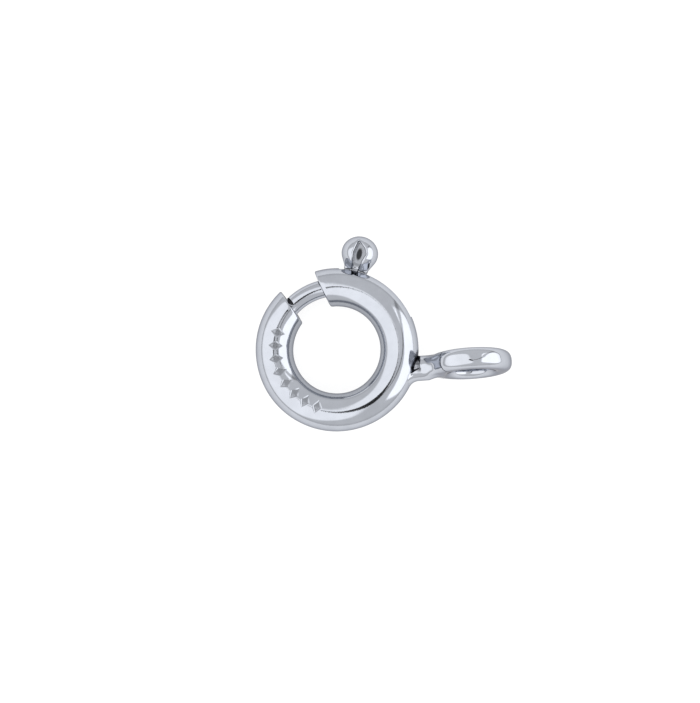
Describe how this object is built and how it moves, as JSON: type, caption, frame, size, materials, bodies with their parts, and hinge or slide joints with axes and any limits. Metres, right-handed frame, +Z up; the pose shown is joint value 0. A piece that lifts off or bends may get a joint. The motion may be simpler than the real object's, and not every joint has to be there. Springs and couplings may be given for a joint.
{
  "type": "spring ring clasp",
  "caption": "Round tube clasp whose curved tongue slides back behind a ball trigger to open its mouth, with an open end ring standing across the case.",
  "frame": {"origin": "centre of the bounding box's underside, on the surface that the clasp lies on", "axes": "+X from the round case towards the end ring, +Z up from the surface, +Y towards the trigger's side. The case is tilted about 6 degrees, because the end ring stands on its edge."},
  "size_m": [0.0094, 0.0072, 0.003],
  "materials": {
    "case_metal": "soft polish",
    "tongue_metal": "drawn and polished",
    "trigger_metal": "bright polish",
    "spring_wire": "drawn wire",
    "end_ring_metal": "bright polish"
  },
  "bodies": {
    "case": {"case_tube": "case_metal", "end_ring": "end_ring_metal", "spring": "spring_wire"},
    "bolt": {"tongue": "tongue_metal", "trigger": "trigger_metal"}
  },
  "joints": [
    {"name": "bolt_slide", "type": "hinge", "parent": "case", "child": "bolt", "pos_m": [-0.0017, -0.00063, 0.00095], "axis": [0.1048, -0.0332, -0.9939], "range_deg": [0, 41], "stiffness_Nm_per_rad": 0.006, "deforming": ["spring"]}
  ]
}
